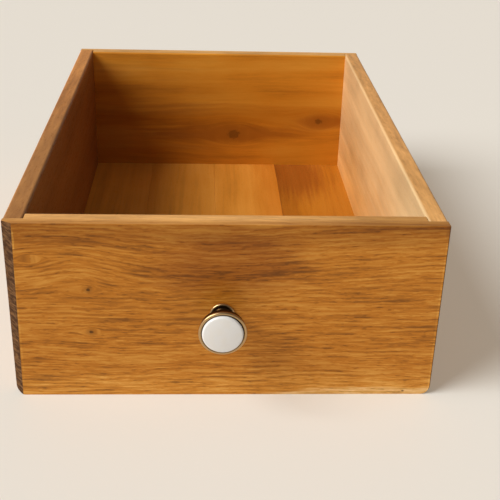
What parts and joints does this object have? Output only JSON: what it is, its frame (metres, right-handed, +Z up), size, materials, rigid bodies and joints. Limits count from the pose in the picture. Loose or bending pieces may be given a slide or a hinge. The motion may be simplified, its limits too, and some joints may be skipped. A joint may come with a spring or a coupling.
{
  "type": "wooden drawer case",
  "caption": "Open-topped oak drawer case with lapped corners, a boarded bottom let in from below, and a porcelain pull knob on a brass neck.",
  "frame": {"origin": "middle of the underside of the case, on the surface that it rests on", "axes": "+X to the right seen from the front, +Y from the front board to the back board, +Z up; the knob is on the -Y side"},
  "size_m": [0.3, 0.479, 0.136],
  "materials": {
    "oak_walls": "oiled oak, honey brown, satin",
    "oak_bottom": "oiled oak, slightly redder than the walls, satin",
    "oak_pins": "oiled oak end grain, cut flush",
    "antique_brass": "darkened antique brass, rubbed bright on the raised edges",
    "porcelain": "white glaze, glossy",
    "zinc_steel": "zinc-plated steel"
  },
  "bodies": {
    "drawer": {"front_board": "oak_walls", "back_board": "oak_walls", "left_side": "oak_walls", "right_side": "oak_walls", "bottom_board_1": "oak_bottom", "bottom_board_2": "oak_bottom", "bottom_board_3": "oak_bottom", "bottom_board_4": "oak_bottom", "bottom_tongue_1": "oak_bottom", "bottom_tongue_2": "oak_bottom", "bottom_tongue_3": "oak_bottom", "front_left_pins": "oak_pins", "front_right_pins": "oak_pins", "back_left_pins": "oak_pins", "back_right_pins": "oak_pins", "bottom_screws": "zinc_steel"},
    "knob": {"knob_foot": "antique_brass", "knob_neck": "antique_brass", "knob_cup": "antique_brass", "knob_bezel": "antique_brass", "knob_cap": "porcelain", "knob_washer": "zinc_steel", "knob_screw": "zinc_steel"}
  },
  "joints": [
    {"name": "knob_turn", "type": "hinge", "parent": "drawer", "child": "knob", "pos_m": [-0.003, -0.225, 0.0675], "axis": [0, -1, 0], "continuous": true}
  ]
}
